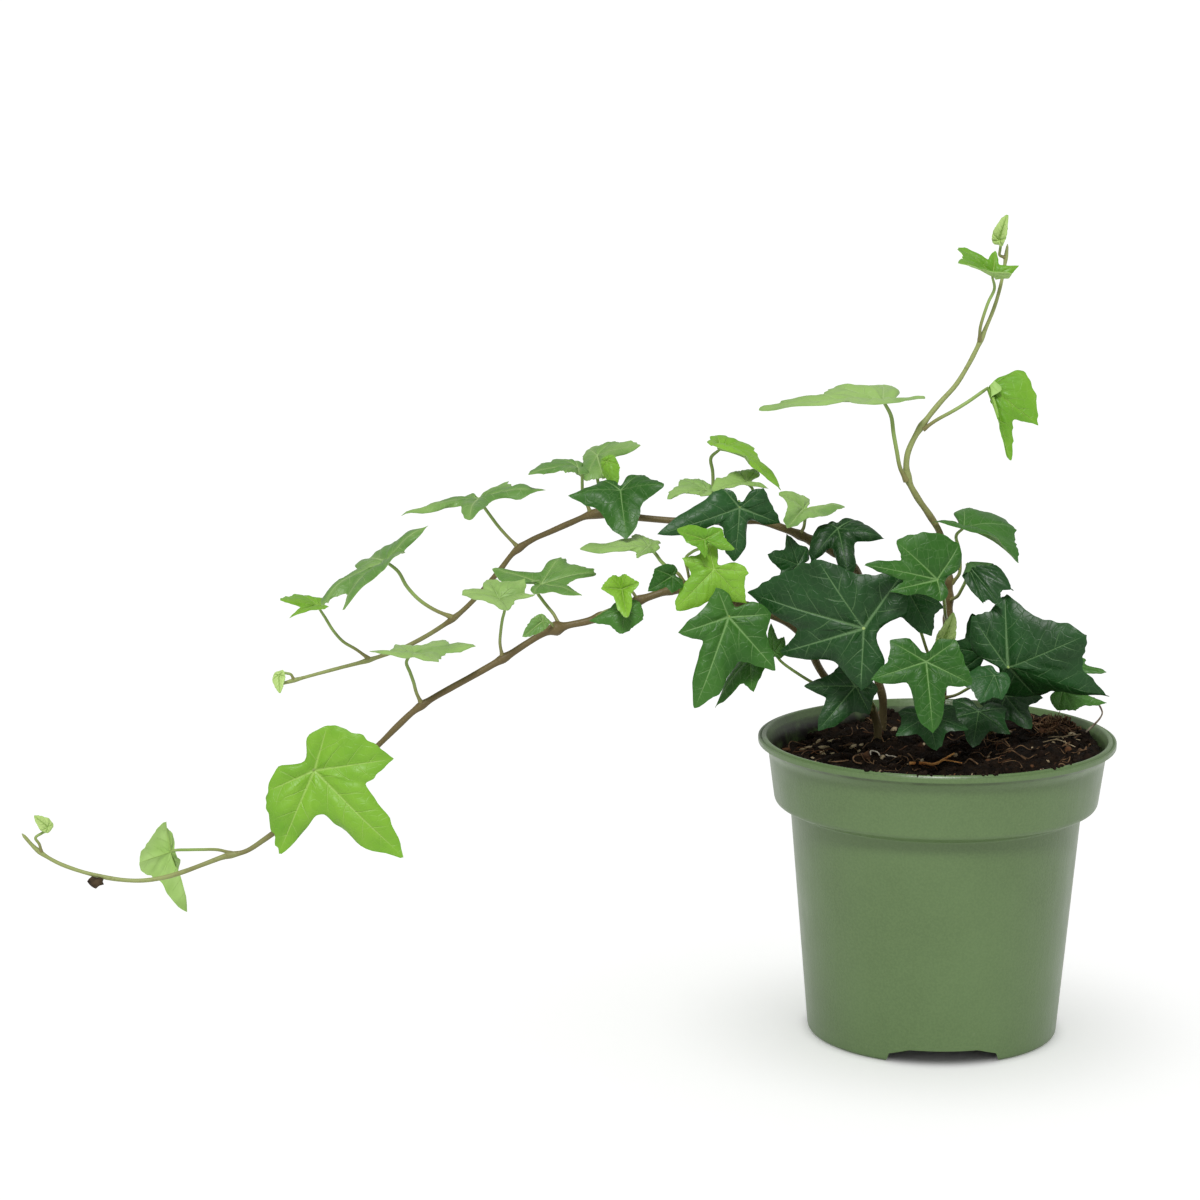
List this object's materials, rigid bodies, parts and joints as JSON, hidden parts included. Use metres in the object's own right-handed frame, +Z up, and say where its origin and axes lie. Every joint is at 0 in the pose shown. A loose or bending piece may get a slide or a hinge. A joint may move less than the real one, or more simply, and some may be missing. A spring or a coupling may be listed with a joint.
{
  "type": "potted ivy",
  "caption": "Young trailing ivy rooted in the soil of a round tapered plastic nursery pot, with one upright shoot and two long trails to one side.",
  "frame": {"origin": "centre of the pot's foot plane, on the flat centre foot", "axes": "+X to the right, with both trails running to -X; +Y away from the viewer; +Z up"},
  "size_m": [0.3247, 0.107, 0.2462],
  "materials": {
    "pot_plastic": "satin moulded plastic",
    "potting_soil": "rough crumbs and fibres",
    "stem_bark": "smooth young bark",
    "leaf_dark": "waxy, pale veins",
    "leaf_mid": "waxy, pale veins",
    "leaf_lime": "soft, young",
    "leaf_pale": "soft, pale green",
    "dry_wood": "dry and rough",
    "withered_scrap": "crumpled and dry"
  },
  "bodies": {
    "root": {"pot": "pot_plastic", "soil": "potting_soil", "stem_upright": "stem_bark", "stem_upper": "stem_bark", "stem_lower": "stem_bark", "stem_right": "stem_bark", "leaf_upright_bud": "leaf_lime", "leaf_upright_3": "leaf_lime", "leaf_upright_2": "leaf_lime", "leaf_upright_1": "leaf_pale", "leaf_crown_1": "leaf_mid", "leaf_crown_2": "leaf_dark", "leaf_crown_3": "leaf_mid", "leaf_crown_bud": "leaf_lime", "leaf_crown_4": "leaf_mid", "leaf_crown_5": "leaf_dark", "leaf_crown_6": "leaf_dark", "leaf_crown_7": "leaf_dark", "leaf_right_1": "leaf_dark", "leaf_right_2": "leaf_mid", "leaf_right_3": "leaf_mid", "leaf_right_4": "leaf_dark", "leaf_right_5": "leaf_dark", "leaf_right_6": "leaf_dark", "leaf_lower_1": "leaf_dark", "leaf_lower_2": "leaf_mid", "leaf_lower_3": "leaf_dark", "leaf_lower_4": "leaf_mid", "leaf_lower_5": "leaf_mid", "leaf_lower_6": "leaf_lime", "leaf_lower_7": "leaf_lime", "leaf_lower_8": "leaf_pale", "leaf_lower_9": "leaf_mid", "leaf_lower_10": "leaf_lime", "leaf_lower_11": "leaf_mid", "leaf_lower_12": "leaf_pale", "leaf_lower_13": "leaf_pale", "leaf_lower_14": "leaf_pale", "leaf_lower_15": "leaf_pale", "leaf_lower_16": "leaf_lime", "leaf_lower_17": "leaf_lime", "leaf_lower_bud": "leaf_lime", "leaf_upper_1": "leaf_dark", "leaf_upper_2": "leaf_dark", "leaf_upper_3": "leaf_pale", "leaf_upper_4": "leaf_dark", "leaf_upper_5": "leaf_pale", "leaf_upper_6": "leaf_lime", "leaf_upper_7": "leaf_pale", "leaf_upper_8": "leaf_mid", "leaf_upper_9": "leaf_lime", "leaf_upper_10": "leaf_pale", "leaf_upper_11": "leaf_pale", "leaf_upper_12": "leaf_pale", "leaf_upper_13": "leaf_pale", "leaf_upper_14": "leaf_lime", "leaf_upper_bud": "leaf_lime", "dry_twig": "dry_wood", "dry_root": "dry_wood", "dried_scrap": "withered_scrap"}
  },
  "joints": []
}
